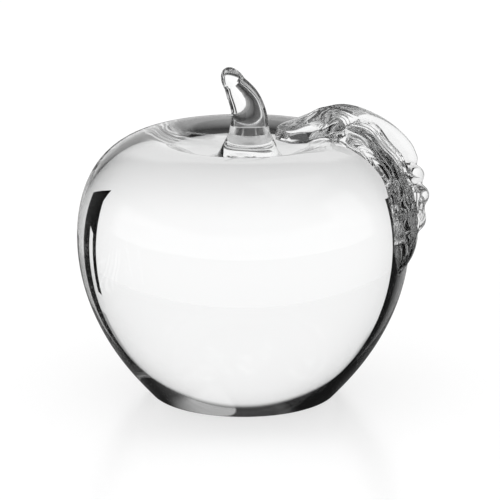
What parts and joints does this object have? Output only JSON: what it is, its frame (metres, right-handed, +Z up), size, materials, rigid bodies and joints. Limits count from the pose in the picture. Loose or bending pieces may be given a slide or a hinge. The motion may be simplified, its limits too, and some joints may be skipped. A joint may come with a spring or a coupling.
{
  "type": "glass apple",
  "caption": "Clear art glass apple: solid round body with a dimpled top and flat base, curved stem and crimped leaf over one shoulder; an ornament or paperweight.",
  "frame": {"origin": "middle of the flat base, on the body's axis", "axes": "+Z up along the body's axis, +X to the side that the leaf lies on, -Y to the front"},
  "size_m": [0.0946, 0.0892, 0.0891],
  "materials": {
    "body_glass": "clear, fire polished, base ground flat",
    "stem_glass": "clear, fire polished",
    "leaf_glass": "clear, pressed veins and crimped edge"
  },
  "bodies": {
    "root": {"apple_body": "body_glass", "stem": "stem_glass", "leaf": "leaf_glass"}
  },
  "joints": []
}
